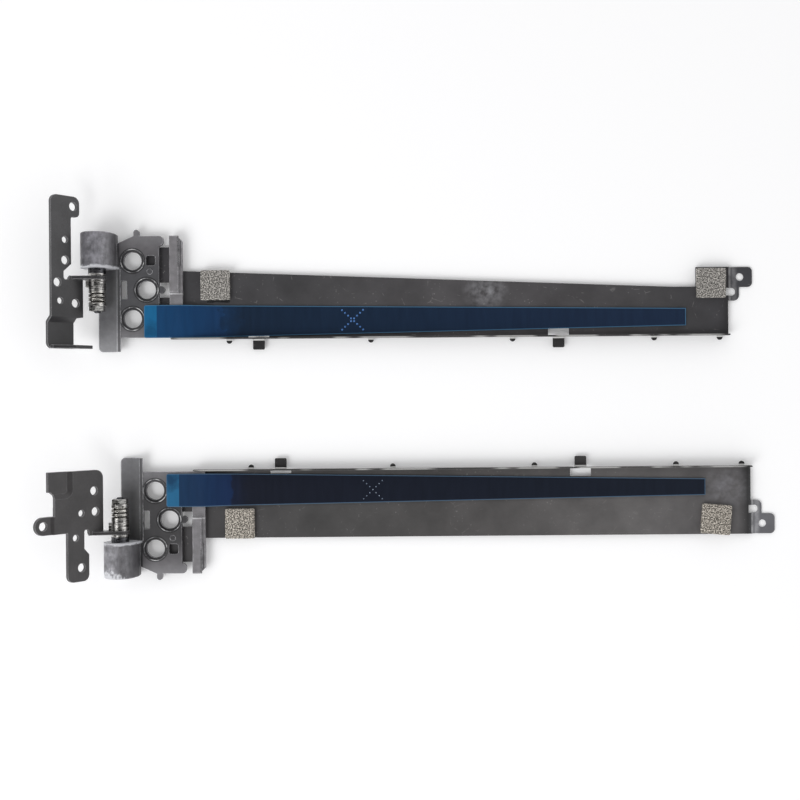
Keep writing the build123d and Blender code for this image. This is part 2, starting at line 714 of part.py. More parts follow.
def make_arm(waist):
    """Long steel arm with a folded flange, tongues, windows and a stepped end tab."""
    inner_line = arm_flange_line + arm_thickness
    cutout_right = bar_left - 0.3
    with BuildPart() as arm:
        # Sheet seen from its edge, stepped down to the table at the end tab
        with BuildSketch(Plane.XZ.offset(-arm_root_top)):
            with BuildLine():
                Polyline(
                    (arm_left, arm_height),
                    (arm_length, arm_height),
                    (arm_length + joggle_length, 0),
                    (end_tab_right, 0),
                    (end_tab_right, arm_thickness),
                    (arm_length + joggle_length + 0.2, arm_thickness),
                    (arm_length + 0.2, sheet_top),
                    (arm_left, sheet_top),
                    close=True,
                )
            make_face()
        extrude(amount=arm_root_top - arm_flange_line)

        # Outline of the blank
        with BuildSketch(Plane.XY):
            with BuildLine():
                Polyline(
                    (arm_left, arm_root_top),
                    (bar_left + bar_width + 0.4, arm_root_top),
                    (bar_left + bar_width + 0.4, arm_edge),
                    (end_tab_right, arm_edge),
                    (end_tab_right, end_tab_bottom),
                    (end_lug_right, end_tab_bottom),
                    (end_lug_right, end_lug_bottom),
                    (arm_length, end_lug_bottom),
                    (arm_length, arm_flange_line),
                    (flange_start, arm_flange_line),
                    (flange_start, plate_bottom + 0.2),
                    (arm_left, plate_bottom + 0.2),
                    close=True,
                )
            make_face()
            fillet(vertices().sort_by(Axis.X)[-2:], radius=1.6)
            fillet(vertices().sort_by_distance((end_lug_right, end_lug_bottom))[0], radius=1.9)

            # Opening round the middle post hole, and holes for the stakes
            with Locations((inner_hole_x, post_hole_middle)):
                Circle(post_hole_diameter / 2 + 0.3, mode=Mode.SUBTRACT)
            with Locations(((inner_hole_x + cutout_right) / 2, post_hole_middle)):
                Rectangle(cutout_right - inner_hole_x, arm_window_width, mode=Mode.SUBTRACT)
            with Locations(*stake_centres):
                Circle(stake_diameter / 2 + seat_clearance, mode=Mode.SUBTRACT)
            with Locations(end_hole_centre):
                Circle(end_hole_diameter / 2, mode=Mode.SUBTRACT)
            slot_left, slot_right, slot_top, slot_bottom = end_slot
            with Locations(((slot_left + slot_right) / 2, (slot_top + slot_bottom) / 2)):
                Rectangle(slot_right - slot_left, slot_top - slot_bottom, mode=Mode.SUBTRACT)
            for corner in [(slot_right, slot_top), (slot_right, slot_bottom)]:
                fillet(vertices().sort_by_distance(corner)[0], radius=end_slot_radius)
        extrude(amount=sheet_top + 1, mode=Mode.INTERSECT)

        # Waist along the inner edge, which only one of the arms has
        if waist > 0:
            with BuildSketch(Plane.XY):
                with BuildLine():
                    Polyline(
                        (waist_start, arm_edge),
                        (waist_end, arm_edge - waist),
                        (waist_step, arm_edge - waist),
                        (waist_step, arm_edge),
                        close=True,
                    )
                make_face()
            extrude(amount=sheet_top + 1, mode=Mode.SUBTRACT)

        # Flange folded up along the outer edge
        flange_length = arm_length - flange_start
        with BuildSketch(Plane.XY.offset(arm_height)):
            with Locations((flange_start + flange_length / 2, arm_flange_line + arm_thickness / 2)):
                Rectangle(flange_length, arm_thickness)
        extrude(amount=flange_height)
        fold = arm.edges().filter_by(Axis.X).filter_by(lambda edge: edge.length > flange_length / 2)
        outer_fold = fold.sort_by_distance((arm_length / 2, arm_flange_line, arm_height))[0]
        inner_fold = fold.sort_by_distance((arm_length / 2, inner_line, sheet_top))[0]
        fillet(inner_fold, radius=0.3)
        fillet(outer_fold, radius=0.45)

        # Windows beside the fold
        for centre, depth in zip(tab_centres, window_depths):
            with BuildSketch(Plane.XY):
                with Locations((centre, inner_line + depth / 2)):
                    Rectangle(window_width, depth)
            extrude(amount=sheet_top + 0.3, mode=Mode.SUBTRACT)

        # Tongues turned outwards from the flange's foot: round nubs and square tabs
        nubs = [nub_first + index * nub_pitch for index in range(4)] + [nub_last]
        with BuildSketch(Plane.XY.offset(arm_height)):
            for station in nubs:
                with Locations((station, arm_flange_line + nub_diameter / 2 - nub_reach)):
                    Circle(nub_diameter / 2)
                with Locations((station, arm_flange_line - nub_reach / 4 + 0.2)):
                    Rectangle(nub_diameter, nub_reach / 2 + 0.4)
            for centre in tab_centres:
                with Locations((centre, arm_flange_line - tab_reach / 2 + 0.2)):
                    RectangleRounded(tab_width, tab_reach + 0.4, radius=0.5)
        extrude(amount=arm_thickness)
    return arm


def strip_profile(bottom, thickness, left, right):
    """Film laid over the plate, sloping down behind the bar and flat along the arm."""
    bar_end = bar_left + bar_width + bar_ledge
    with BuildSketch(Plane.XZ) as profile:
        with BuildLine():
            Polyline(
                (left, plate_face + bottom),
                (bar_end, plate_face + bottom),
                (strip_landing, sheet_top + bottom),
                (right, sheet_top + bottom),
                (right, sheet_top + bottom + thickness),
                (strip_landing, sheet_top + bottom + thickness),
                (bar_end, plate_face + bottom + thickness),
                (left, plate_face + bottom + thickness),
                close=True,
            )
        make_face()
    extrude(profile.sketch, amount=-plate_bottom)


def make_strip(bottom, thickness, margin):
    """Tapered strip: the adhesive itself, or the liner that stands a little wider."""
    left = strip_left - margin
    right = strip_right + margin
    with BuildPart() as strip:
        strip_profile(bottom, thickness, left, right)
        with BuildSketch(Plane.XY):
            with BuildLine():
                Polyline(
                    (left, strip_root_edges[0] + margin),
                    (bar_left + bar_width, strip_root_edges[0] + margin),
                    (right, strip_end_edges[0] + margin),
                    (right, strip_end_edges[1] - margin),
                    (bar_left + bar_width, strip_root_edges[1] - margin),
                    (left, strip_root_edges[1] - margin),
                    close=True,
                )
            make_face()
            fillet(vertices().sort_by(Axis.X)[:2], radius=0.8)
        extrude(amount=4 * plate_face, mode=Mode.INTERSECT)
    return strip


def make_gasket(centre_x, centre_y, turn):
    """Foam gasket pad stuck on the arm."""
    width, depth = gasket_size
    with BuildPart() as gasket:
        with BuildSketch(Plane.XY.offset(sheet_top)):
            with Locations(Location((centre_x, centre_y), turn)):
                Rectangle(width, depth)
        extrude(amount=gasket_thickness)
        chamfer(gasket.faces().sort_by(Axis.Z)[-1].edges(), length=gasket_chamfer)
    return gasket


pieces = {
    "lid_bracket": make_lid_bracket(),
    "shaft": make_shaft(),
    "thrust_washer": make_ring(
        journal_diameter, washer_diameter, collar_face, thrust_washer_thickness
    ),
    "lug_washer": make_lug_washer(),
    "keyed_washer": make_ring(
        journal_diameter, washer_diameter, keyed_washer_start, keyed_washer_thickness, keyed=True
    ),
    "end_washer": make_ring(
        journal_diameter, washer_diameter, spring_end, end_washer_thickness, keyed=True
    ),
    "nut": make_nut(),
    "adhesive_strip": make_strip(0, strip_thickness, 0),
    "release_liner": make_strip(strip_thickness, liner_thickness, liner_margin),
    "root_gasket": make_gasket(*gasket_root_centre, 0),
}
for index in range(spring_count):
    pieces[f"disc_spring_{index + 1}"] = make_disc_spring(index)

right_pieces = {
    **pieces,
    "base_bracket": make_right_base_bracket(),
    "arm": make_arm(waist_depth),
    "end_gasket": make_gasket(*right_gasket_end),
}
left_pieces = {
    **pieces,
    "base_bracket": make_left_base_bracket(),
    "arm": make_arm(0),
    "end_gasket": make_gasket(*left_gasket_end),
}

# The pair's origin lies on the table, in the middle of the box round both hinges
right_boxes = [drawn.part.bounding_box() for drawn in right_pieces.values()]
left_boxes = [drawn.part.bounding_box() for drawn in left_pieces.values()]
low_x = min([box.min.X for box in right_boxes] + [box.min.X + pair_stagger for box in left_boxes])
high_x = max([box.max.X for box in right_boxes] + [box.max.X + pair_stagger for box in left_boxes])
low_y = -pair_spacing - max(box.max.Y for box in left_boxes)
high_y = max(box.max.Y for box in right_boxes)
right_place = Pos(-(low_x + high_x) / 2, -(low_y + high_y) / 2, 0)
left_place = right_place * Pos(pair_stagger, -pair_spacing, 0)

for name, drawn in right_pieces.items():
    with BuildPart() as piece:
        add(right_place * drawn.part)
    piece.part.label = f"right_{name}"
    export_step(piece.part, f"parts/right_{name}.step")

for name, drawn in left_pieces.items():
    mirrored = mirror(drawn.part, about=Plane.XZ)
    with BuildPart() as piece:
        add(left_place * mirrored)
    piece.part.label = f"left_{name}"
    export_step(piece.part, f"parts/left_{name}.step")
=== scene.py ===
import math

import bpy
import numpy as np
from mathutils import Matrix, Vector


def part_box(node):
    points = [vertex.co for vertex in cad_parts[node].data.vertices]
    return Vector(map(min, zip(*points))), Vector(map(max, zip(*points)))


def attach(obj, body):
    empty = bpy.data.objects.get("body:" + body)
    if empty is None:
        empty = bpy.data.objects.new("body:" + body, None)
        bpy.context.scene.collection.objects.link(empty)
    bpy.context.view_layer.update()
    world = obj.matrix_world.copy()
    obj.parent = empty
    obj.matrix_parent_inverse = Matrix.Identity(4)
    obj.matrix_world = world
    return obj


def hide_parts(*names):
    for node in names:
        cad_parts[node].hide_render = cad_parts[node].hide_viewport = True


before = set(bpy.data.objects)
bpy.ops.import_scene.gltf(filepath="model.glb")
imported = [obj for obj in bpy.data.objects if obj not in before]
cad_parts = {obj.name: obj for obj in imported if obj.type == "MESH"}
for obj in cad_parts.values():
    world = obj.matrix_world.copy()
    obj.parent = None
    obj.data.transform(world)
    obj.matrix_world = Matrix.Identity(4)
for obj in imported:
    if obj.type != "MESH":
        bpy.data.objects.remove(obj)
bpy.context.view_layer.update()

# Everything below is drawn in millimetres from one hinge's own corner, where the shaft's
# axis meets the barrel's inner face. X runs along the arm, Y towards the barrel, Z up.
# Only the table top, the light, the camera and the shaders' bevels and bumps are in metres.
MM = 0.001
SIDES = ("right", "left")

# Levels above the table
SHEET_TOP = 1.5
TAPE_THICKNESS = 0.35
FILM_THICKNESS = 0.1
PLATE_FACE = 3.1

# Lid bracket
SHAFT_SEAT = 8.7
BARREL_LENGTH = 12.5
COVER_EDGE = 7.2
WINDOW_MIDDLE = 23.45
BAR_RIGHT = 28.4
BAR_END = 29.6
POST_HOLES = [(11.8, 2.95), (16.85, -7.4), (11.8, -17.75)]

# Arm
FLANGE_FOOT = -25.2
FLANGE_TOP = 4.0
ARM_END = 225.0
STRIP_LANDING = 41.0


def hinge_origin(side):
    """Corner of one hinge in the shared frame, in metres, and the sign of its Y."""
    low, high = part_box(f"{side}_shaft")
    if side == "right":
        return (low.x + high.x) / 2, high.y - SHAFT_SEAT * MM, 1
    return (low.x + high.x) / 2, low.y + SHAFT_SEAT * MM, -1


ORIGINS = {side: hinge_origin(side) for side in SIDES}


def to_frame(side, points):
    """Points in a hinge's millimetres, turned to metres in the shared frame."""
    x, y, sign = ORIGINS[side]
    points = np.asarray(points, float) * MM
    return points * (1, sign, 1) + (x, y, 0)


def linear(code):
    """A colour written as sRGB hex, turned to the linear values that a shader takes."""
    parts = [int(code[i:i + 2], 16) / 255 for i in (1, 3, 5)]
    return tuple(c / 12.92 if c <= 0.04045 else ((c + 0.055) / 1.055) ** 2.4 for c in parts) + (1,)


def add_node(tree, kind, inputs=None, stops=None, **settings):
    """Adds a node. Its inputs are sockets, values or hex colours, and stops fill a colour
    ramp with hex colours or shares of white."""
    made = tree.nodes.new("ShaderNode" + kind)
    for name, value in settings.items():
        setattr(made, name, value)
    for key, value in (inputs or {}).items():
        if isinstance(value, bpy.types.NodeSocket):
            tree.links.new(value, made.inputs[key])
        else:
            made.inputs[key].default_value = linear(value) if isinstance(value, str) else value
    if stops:
        elements = made.color_ramp.elements
        while len(elements) < len(stops):
            elements.new(0.5)
        for element, (place, colour) in zip(elements, stops):
            element.position = place
            element.color = linear(colour) if isinstance(colour, str) else (colour,) * 3 + (1,)
    return made


def start_material(name, side="right"):
    """A material with its shader, and coordinates in the hinge's own millimetres."""
    material = bpy.data.materials.new(name)
    material.use_nodes = True
    tree = material.node_tree
    tree.nodes.clear()
    output = add_node(tree, "OutputMaterial")
    shader = add_node(tree, "BsdfPrincipled")
    tree.links.new(shader.outputs[0], output.inputs["Surface"])
    where = add_node(tree, "TexCoord")
    x, y, sign = ORIGINS[side]
    local = add_node(tree, "Mapping", {
        "Vector": where.outputs["Object"],
        "Location": (-x / MM, -sign * y / MM, 0),
        "Scale": (1 / MM, sign / MM, 1 / MM),
    })
    return material, tree, shader, local.outputs[0]


def tones_along(tree, place, start, end, stops):
    """Tones that follow one another from one place or distance to another, both in
    millimetres. Each stop gives its share of the way and its hex colour or share of white."""
    way = add_node(tree, "MapRange", {"Value": place, "From Min": start, "From Max": end})
    return add_node(tree, "ValToRGB", {"Fac": way.outputs[0]}, stops=stops).outputs[0]


def edges_worn_and_lit(tree, radius, most):
    """The normal rolled over each edge by a radius in metres, and a mask of the edges,
    which grows from 0 on flat faces to 1 where the rolled normal leaves the face's own.
    The mask lays both wear and a painted highlight along the edges."""
    face = add_node(tree, "NewGeometry")
    rolled = add_node(tree, "Bevel", {"Radius": radius}, samples=6)
    turn = add_node(tree, "VectorMath",
                    {0: rolled.outputs[0], 1: face.outputs["Normal"]}, operation="DOT_PRODUCT")
    edge = add_node(tree, "MapRange",
                    {"Value": turn.outputs["Value"], "From Min": 0.985, "From Max": most})
    return rolled.outputs[0], edge.outputs[0]


# Black sheet steel of the base brackets

# Painted sheen: tones along each bracket that stand in for the room's reflection
PAINTED_SHEEN = {
    "right": [(0.0, "#2a292b"), (0.15, "#2f2e30"), (0.3, "#343335"), (0.45, "#3b3a3c"),
              (1.0, "#3f3e40")],
    "left": [(0.0, "#3a3839"), (0.3, "#393738"), (0.6, "#383637"), (1.0, "#363435")],
}


def satin_black_steel(side):
    """Stamped steel sheet with a baked black e-coat: a soft satin finish with fine orange
    peel, a painted sheen that is a little paler towards the barrel's end, and bright
    sheared edges, partly the coat rubbed thin to bare steel and partly a painted highlight."""
    material, tree, shader, local = start_material(f"e_coated_steel_{side}", side)
    shader.inputs["Roughness"].default_value = 0.38
    y = add_node(tree, "SeparateXYZ", {0: local}).outputs["Y"]
    # Painted sheen along the bracket, paler towards the barrel's end on the right
    painted_sheen = tones_along(tree, y, -24.0, 26.0, PAINTED_SHEEN[side])
    broad = add_node(tree, "TexNoise", {"Vector": local, "Scale": 0.16, "Detail": 3.0})
    fine = add_node(tree, "TexNoise", {"Vector": local, "Scale": 3.2, "Detail": 2.0})
    shade = add_node(tree, "Math", {0: fine.outputs[0], 1: broad.outputs[0]})
    tone = add_node(tree, "MapRange", {
        "Value": shade.outputs[0], "From Min": 0.7, "From Max": 1.3,
        "To Min": 0.7, "To Max": 1.3,
    })
    coat = add_node(tree, "VectorMath", {0: painted_sheen, 3: tone.outputs[0]}, operation="SCALE")
    # Bright edges: the coat worn thin, and a painted highlight
    rolled, edge = edges_worn_and_lit(tree, 0.0004, 0.85)
    edge_wear_and_highlight = add_node(tree, "Math", {0: edge, 1: shade.outputs[0]}, operation="MULTIPLY")
    edge_wear_and_highlight_share = add_node(tree, "Math", {0: edge_wear_and_highlight.outputs[0], 1: 0.85}, operation="MULTIPLY")
    colour = add_node(tree, "Mix", {0: edge_wear_and_highlight_share.outputs[0], 6: coat.outputs[0], 7: "#a9a8ab"},
                      data_type="RGBA")
    bump = add_node(tree, "Bump", {
        "Height": fine.outputs[0], "Strength": 0.12, "Distance": 0.00005, "Normal": rolled,
    })
    tree.links.new(colour.outputs[2], shader.inputs["Base Color"])
    tree.links.new(bump.outputs[0], shader.inputs["Normal"])
    return material


# Zinc casting of the lid brackets

# Painted light and shade on the plate: dark between the post holes, paler towards its ends
PLATE_PAINTED_LIGHT = {
    side: [(0.03, "#7a797c"), (0.12, "#69686b"), (0.3, middle), (0.68, middle),
           (0.85, "#615f62"), (0.97, end)]
    for side, middle, end in (("right", "#4a4a4d", "#757477"), ("left", "#39383a", "#807f82"))
}
# Painted shade along the spring cover, from the springs, paler to its free end
COVER_PAINTED_SHADE = {
    "right": [(0.0, "#98989b"), (0.18, "#8d8d90"), (0.27, "#828285"), (0.52, "#5e5e61"),
              (0.85, "#6c6c6e"), (1.0, "#626264")],
    "left": [(0.0, "#78787b"), (0.3, "#656568"), (0.53, "#575759"), (0.77, "#5e5e60"),
             (1.0, "#484849")],
}
# Painted light and shade across the cover's curve, as shares of its tone, with a painted highlight
# on the fold line and a painted dark line beside it
BEND_PAINTED_LIGHT = {
    "right": [(0.1, 0.6), (0.16, 0.68), (0.5, 0.56), (0.8, 0.48), (0.85, 0.74), (0.88, 0.74),
              (0.91, 0.24), (0.96, 0.22)],
    "left": [(0.03, 0.4), (0.08, 0.8), (0.3, 0.68), (0.5, 0.5), (0.82, 0.48), (0.86, 0.6),
             (0.89, 0.6), (0.92, 0.25)],
}
# Painted shade lines at the bar's sides, as shares of its tone across X
BAR_PAINTED_SHADE = [(0.17, 0.75), (0.23, 1.0), (0.64, 1.0), (0.67, 0.45), (0.73, 0.5), (0.78, 1.0)]
# Painted light and shade across the barrel's curve, darkest in the crook beside the plate
BARREL_PAINTED_LIGHT = {
    "right": [(0.05, "#4c4b50"), (0.3, "#636267"), (0.46, "#77767c"), (0.76, "#7e7d82"),
              (0.83, "#717074"), (0.89, "#48474a")],
    "left": [(0.1, "#7b7a7f"), (0.36, "#8d8c91"), (0.46, "#838287"), (0.54, "#69686b"),
             (0.72, "#656468"), (0.8, "#545357"), (0.9, "#424144"), (1.0, "#343436")],
}
SEAT_TONES = [(0.0, 1.0), (0.1, 1.0), (0.16, 0.5), (0.45, 0.55), (0.52, 0.3), (0.7, 0.25),
              (0.82, 0.5), (0.9, 1.0)]


def cover_colour(tree, side, x, y):
    """Spring cover: painted shade from the springs, growing paler to its free end, times
    the painted light and shade round its curve, which ends in a painted highlight on the
    fold line beside a painted dark line."""
    along = tones_along(tree, y, -33.0, -3.0, COVER_PAINTED_SHADE[side])
    bend = tones_along(tree, x, -1.5, COVER_EDGE + 0.3, BEND_PAINTED_LIGHT[side])
    lit = add_node(tree, "VectorMath", {0: bend, 3: 1.8}, operation="SCALE")
    return add_node(tree, "VectorMath", {0: along, 1: lit.outputs[0]},
                    operation="MULTIPLY").outputs[0]


def bar_colour(tree, side, x, y, cloud):
    """Bar behind the window, rubbed pale. The dark slit beside it, a painted shade line,
    stops at the arm, and a painted highlight in a line marks the ramp's top."""
    slit_end, ramp_top = {"right": (0.8, -8.95), "left": (3.0, -7.9)}[side]
    rubbed = add_node(tree, "ValToRGB", {"Fac": cloud},
                      stops=[(0.35, "#767477"), (0.6, "#7c7a7d")])
    sides = tones_along(tree, x, 24.0, 30.0, BAR_PAINTED_SHADE)
    slotted = add_node(tree, "VectorMath", {0: rubbed.outputs[0], 1: sides}, operation="MULTIPLY")
    slit = add_node(tree, "MapRange",
                    {"Value": y, "From Min": slit_end - 0.3, "From Max": slit_end})
    # Painted highlight in a line at the ramp's top
    crest = add_node(tree, "Math", {0: y, 1: ramp_top, 2: 0.22}, operation="COMPARE")
    line = add_node(tree, "Math", {0: crest.outputs[0], 1: cloud}, operation="MULTIPLY")
    bar = add_node(tree, "Mix",
                   {0: slit.outputs[0], 6: rubbed.outputs[0], 7: slotted.outputs[0]},
                   data_type="RGBA")
    return add_node(tree, "Mix", {0: line.outputs[0], 6: bar.outputs[2], 7: "#dcdcde"},
                    data_type="RGBA").outputs[2]


def barrel_colour(tree, side, local, x, y, cloud):
    """Barrel: clouded by handling, with painted light and shade across its curve that is
    darkest in the crook on the plate's side, and rubbed through in streaks at the outer
    end and along the wavy rim of the inner one."""
    drawn = add_node(tree, "Mapping", {"Vector": local, "Scale": (0.75, 0.16, 0.75)})
    streaks = add_node(tree, "TexNoise",
                       {"Vector": drawn.outputs[0], "Scale": 1.0, "Detail": 5.0, "Roughness": 0.68})
    wander = add_node(tree, "Math", {0: cloud, 1: 3.0, 2: -1.5}, operation="MULTIPLY_ADD")
    wandered = add_node(tree, "Math", {0: x, 1: wander.outputs[0]})
    # Painted light and shade across the barrel's curve
    tones = tones_along(tree, wandered.outputs[0], -6.5, 7.5, BARREL_PAINTED_LIGHT[side])
    blurred = add_node(tree, "Math", {0: streaks.outputs[0], 1: cloud})
    mottle = add_node(tree, "MapRange", {
        "Value": blurred.outputs[0], "From Min": 0.7, "From Max": 1.3,
        "To Min": 0.55, "To Max": 1.45,
    })
    clouded = add_node(tree, "VectorMath", {0: tones, 3: mottle.outputs[0]}, operation="SCALE")

    # The black is thin towards the outer end and the free side, and goes where it is thinnest
    outer = add_node(tree, "MapRange", {
        "Value": y, "From Min": 7.5, "From Max": 14.5,
        "To Min": -0.12, "To Max": {"right": 0.0, "left": 0.28}[side],
    })
    free = add_node(tree, "MapRange", {
        "Value": x, "From Min": 5.0, "From Max": -4.0, "To Min": -0.2, "To Max": 0.02,
    })
    place = add_node(tree, "Math", {0: outer.outputs[0], 1: free.outputs[0]})
    thin = add_node(tree, "Math", {0: blurred.outputs[0], 1: 0.5, 2: place.outputs[0]},
                    operation="MULTIPLY_ADD")
    scuff = add_node(tree, "MapRange", {
        "Value": thin.outputs[0], "From Min": 0.5, "From Max": 0.6, "To Max": 0.95,
    })
    end_face = add_node(tree, "MapRange", {
        "Value": y, "From Min": BARREL_LENGTH - 0.4, "From Max": BARREL_LENGTH - 0.1,
        "To Min": 1.0, "To Max": 0.3,
    })
    scuffed = add_node(tree, "Math", {0: scuff.outputs[0], 1: end_face.outputs[0]},
                       operation="MULTIPLY")
    rim = add_node(tree, "Math", {0: wander.outputs[0], 1: 0.9, 2: y}, operation="MULTIPLY_ADD")
    rimmed = add_node(tree, "MapRange", {
        "Value": rim.outputs[0], "From Min": 0.85, "From Max": 0.35, "To Max": 0.8,
    })
    bare = add_node(tree, "Math", {0: scuffed.outputs[0], 1: rimmed.outputs[0]},
                    operation="MAXIMUM")
    return add_node(tree, "Mix", {0: bare.outputs[0], 6: clouded.outputs[0], 7: "#d8d9de"},
                    data_type="RGBA").outputs[2]


def seat_shade(tree, local):
    """Seats round the post holes: each is darker, with a rim of bare metal at the hole. The
    tones follow the distance to the nearest of the holes."""
    flat = add_node(tree, "VectorMath", {0: local, 1: (1, 1, 0)}, operation="MULTIPLY")
    nearest = None
    for hole in POST_HOLES:
        reach = add_node(tree, "VectorMath", {0: flat.outputs[0], 1: (*hole, 0)},
                         operation="DISTANCE").outputs["Value"]
        nearest = reach if nearest is None else add_node(
            tree, "Math", {0: nearest, 1: reach}, operation="MINIMUM").outputs[0]
    return tones_along(tree, nearest, 3.0, 5.0, SEAT_TONES)


def blackened_zinc(side):
    """Die-cast zinc, blackened and then handled: cloudy on the barrel, with painted light
    and shade across its curve and rubbed patches at its ends, painted shade nearly black
    in the crook beside it, a soft grey gradient of painted shade along the spring cover,
    painted light and shade that leave the plate dark between the post holes and paler
    towards its ends, and bright edges, partly where the black is gone and partly a
    painted highlight."""
    material, tree, shader, local = start_material(f"die_cast_zinc_{side}", side)
    shader.inputs["Roughness"].default_value = 0.42
    parts = add_node(tree, "SeparateXYZ", {0: local})
    x, y = parts.outputs["X"], parts.outputs["Y"]
    cloud = add_node(tree, "TexNoise",
                     {"Vector": local, "Scale": 0.42, "Detail": 5.0, "Roughness": 0.62}).outputs[0]
    grain = add_node(tree, "TexNoise",
                     {"Vector": local, "Scale": 1.1, "Detail": 4.0, "Roughness": 0.7})
    in_cover = add_node(tree, "MapRange",
                        {"Value": x, "From Min": COVER_EDGE + 0.05, "From Max": COVER_EDGE - 0.1})
    on_bar = add_node(tree, "MapRange", {
        "Value": x, "From Min": WINDOW_MIDDLE - 0.15, "From Max": WINDOW_MIDDLE + 0.15,
    })
    beside = add_node(tree, "MapRange",
                      {"Value": x, "From Min": COVER_EDGE + 0.1, "From Max": COVER_EDGE - 0.3})
    beyond = add_node(tree, "MapRange", {"Value": y, "From Min": -0.1, "From Max": 0.0})
    on_barrel = add_node(tree, "Math", {0: beside.outputs[0], 1: beyond.outputs[0]},
                         operation="MULTIPLY")
    # Painted light and shade on the plate, under the cover's, bar's and barrel's colours
    whole = tones_along(tree, y, -27.0, 13.0, PLATE_PAINTED_LIGHT[side])
    for place, colour in [
        (in_cover, cover_colour(tree, side, x, y)),
        (on_bar, bar_colour(tree, side, x, y, cloud)),
        (on_barrel, barrel_colour(tree, side, local, x, y, cloud)),
    ]:
        whole = add_node(tree, "Mix", {0: place.outputs[0], 6: whole, 7: colour},
                         data_type="RGBA").outputs[2]
    shade = add_node(tree, "MapRange", {
        "Value": cloud, "From Min": 0.3, "From Max": 0.7, "To Min": 0.88, "To Max": 1.1,
    })
    toned = add_node(tree, "VectorMath", {0: whole, 3: shade.outputs[0]}, operation="SCALE")
    seated = add_node(tree, "VectorMath",
                      {0: toned.outputs[0], 1: seat_shade(tree, local)}, operation="MULTIPLY")
    # Bright edges in patches: worn zinc, and a painted highlight
    rolled, edge = edges_worn_and_lit(tree, 0.0003, 0.86)
    patches = add_node(tree, "MapRange", {"Value": cloud, "From Min": 0.34, "From Max": 0.58})
    edge_wear_and_highlight = add_node(tree, "Math", {0: edge, 1: patches.outputs[0]}, operation="MULTIPLY")
    worn = add_node(tree, "Mix", {0: edge_wear_and_highlight.outputs[0], 6: seated.outputs[0], 7: "#d2d2d6"},
                    data_type="RGBA")
    bump = add_node(tree, "Bump", {
        "Height": grain.outputs[0], "Strength": 0.2, "Distance": 0.0001, "Normal": rolled,
    })
    tree.links.new(worn.outputs[2], shader.inputs["Base Color"])
    tree.links.new(bump.outputs[0], shader.inputs["Normal"])
    return material


def bead_painted_highlight(side):
    """The same casting on a raised bead with a painted highlight along its crest: bright
    zinc, broken up by dull stretches where it stays black."""
    material, tree, shader, local = start_material(f"bead_painted_highlight_{side}", side)
    shader.inputs["Roughness"].default_value = 0.35
    highlight_breaks = add_node(tree, "TexNoise",
                          {"Vector": local, "Scale": 0.3, "Detail": 4.0, "Roughness": 0.6})
    # Painted highlight on the bead, broken by dull stretches
    colour = add_node(tree, "ValToRGB", {"Fac": highlight_breaks.outputs[0]},
                      stops=[(0.42, "#3a3a3c"), (0.52, "#7c7c7f"), (0.62, "#dededf")])
    tree.links.new(colour.outputs[0], shader.inputs["Base Color"])
    return material


# Sheet steel of the arms

# Coat tones along the arm; the dark stop just before the step to the end tab is a painted shadow
# line
COAT_TONES_AND_STEP_SHADOW = {
    "right": [(0.0, "#3c3b3e"), (0.25, "#3f3e40"), (0.5, "#4b494b"), (0.7, "#454345"),
              (0.85, "#403f41"), (0.935, "#3c3b3e"), (0.95, "#272628"), (0.958, "#3c3c40")],
    "left": [(0.0, "#3f3d3f"), (0.25, "#444343"), (0.5, "#4c4a4a"), (0.75, "#5f5d5d"),
             (0.93, "#595758"), (0.947, "#242425"), (0.958, "#656569")],
}
SMEARS = {
    "right": {"centre": (138.0, -8.0, SHEET_TOP), "radius": 9.0, "colour": "#9a9a9e"},
    "left": {"centre": (216.0, -17.5, SHEET_TOP), "radius": 10.0, "colour": "#828186"},
}
# Painted highlights on the bends of the step down to the end tab, as shares of their colour
STEP_HIGHLIGHTS = [(0.02, 0.0), (0.08, 0.75), (0.25, 0.75), (0.33, 0.1), (0.5, 0.6), (0.7, 0.5),
              (0.95, 0.0)]


def arm_ground(tree, side, x, y, z, drift):
    """Coat of the arm: its tone changes slowly along the arm and drifts like a cloud, with a
    painted shadow line just before the step to the end tab. The tongues' tips and the
    upright flange are darker."""
    coat = tones_along(tree, x, 16.0, 236.0, COAT_TONES_AND_STEP_SHADOW[side])
    cloudy = add_node(tree, "MapRange", {
        "Value": drift, "From Min": 0.3, "From Max": 0.7, "To Min": 0.78, "To Max": 1.25,
    })
    tips = add_node(tree, "MapRange", {
        "Value": y, "From Min": FLANGE_FOOT - 0.3, "From Max": FLANGE_FOOT - 0.6,
        "To Min": 1.0, "To Max": 0.4,
    })
    upright = add_node(tree, "MapRange", {
        "Value": z, "From Min": 2.2, "From Max": 3.0, "To Min": 1.0, "To Max": 0.5,
    })
    for dimming in (tips, upright, cloudy):
        coat = add_node(tree, "VectorMath", {0: coat, 3: dimming.outputs[0]},
                        operation="SCALE").outputs[0]
    return coat


def smear_mask(tree, side, local, wisps):
    """A patch wiped with a damp finger, strongest in the middle and broken into wisps."""
    smear = SMEARS[side]
    spot = add_node(tree, "VectorMath", {0: local, 1: smear["centre"]}, operation="DISTANCE")
    patch = add_node(tree, "MapRange", {
        "Value": spot.outputs["Value"], "From Min": smear["radius"], "From Max": 2.0,
    })
    wisp = add_node(tree, "MapRange",
                    {"Value": wisps, "From Min": 0.36, "From Max": 0.82, "To Max": 0.9})
    return add_node(tree, "Math", {0: patch.outputs[0], 1: wisp.outputs[0]},
                    operation="MULTIPLY").outputs[0]


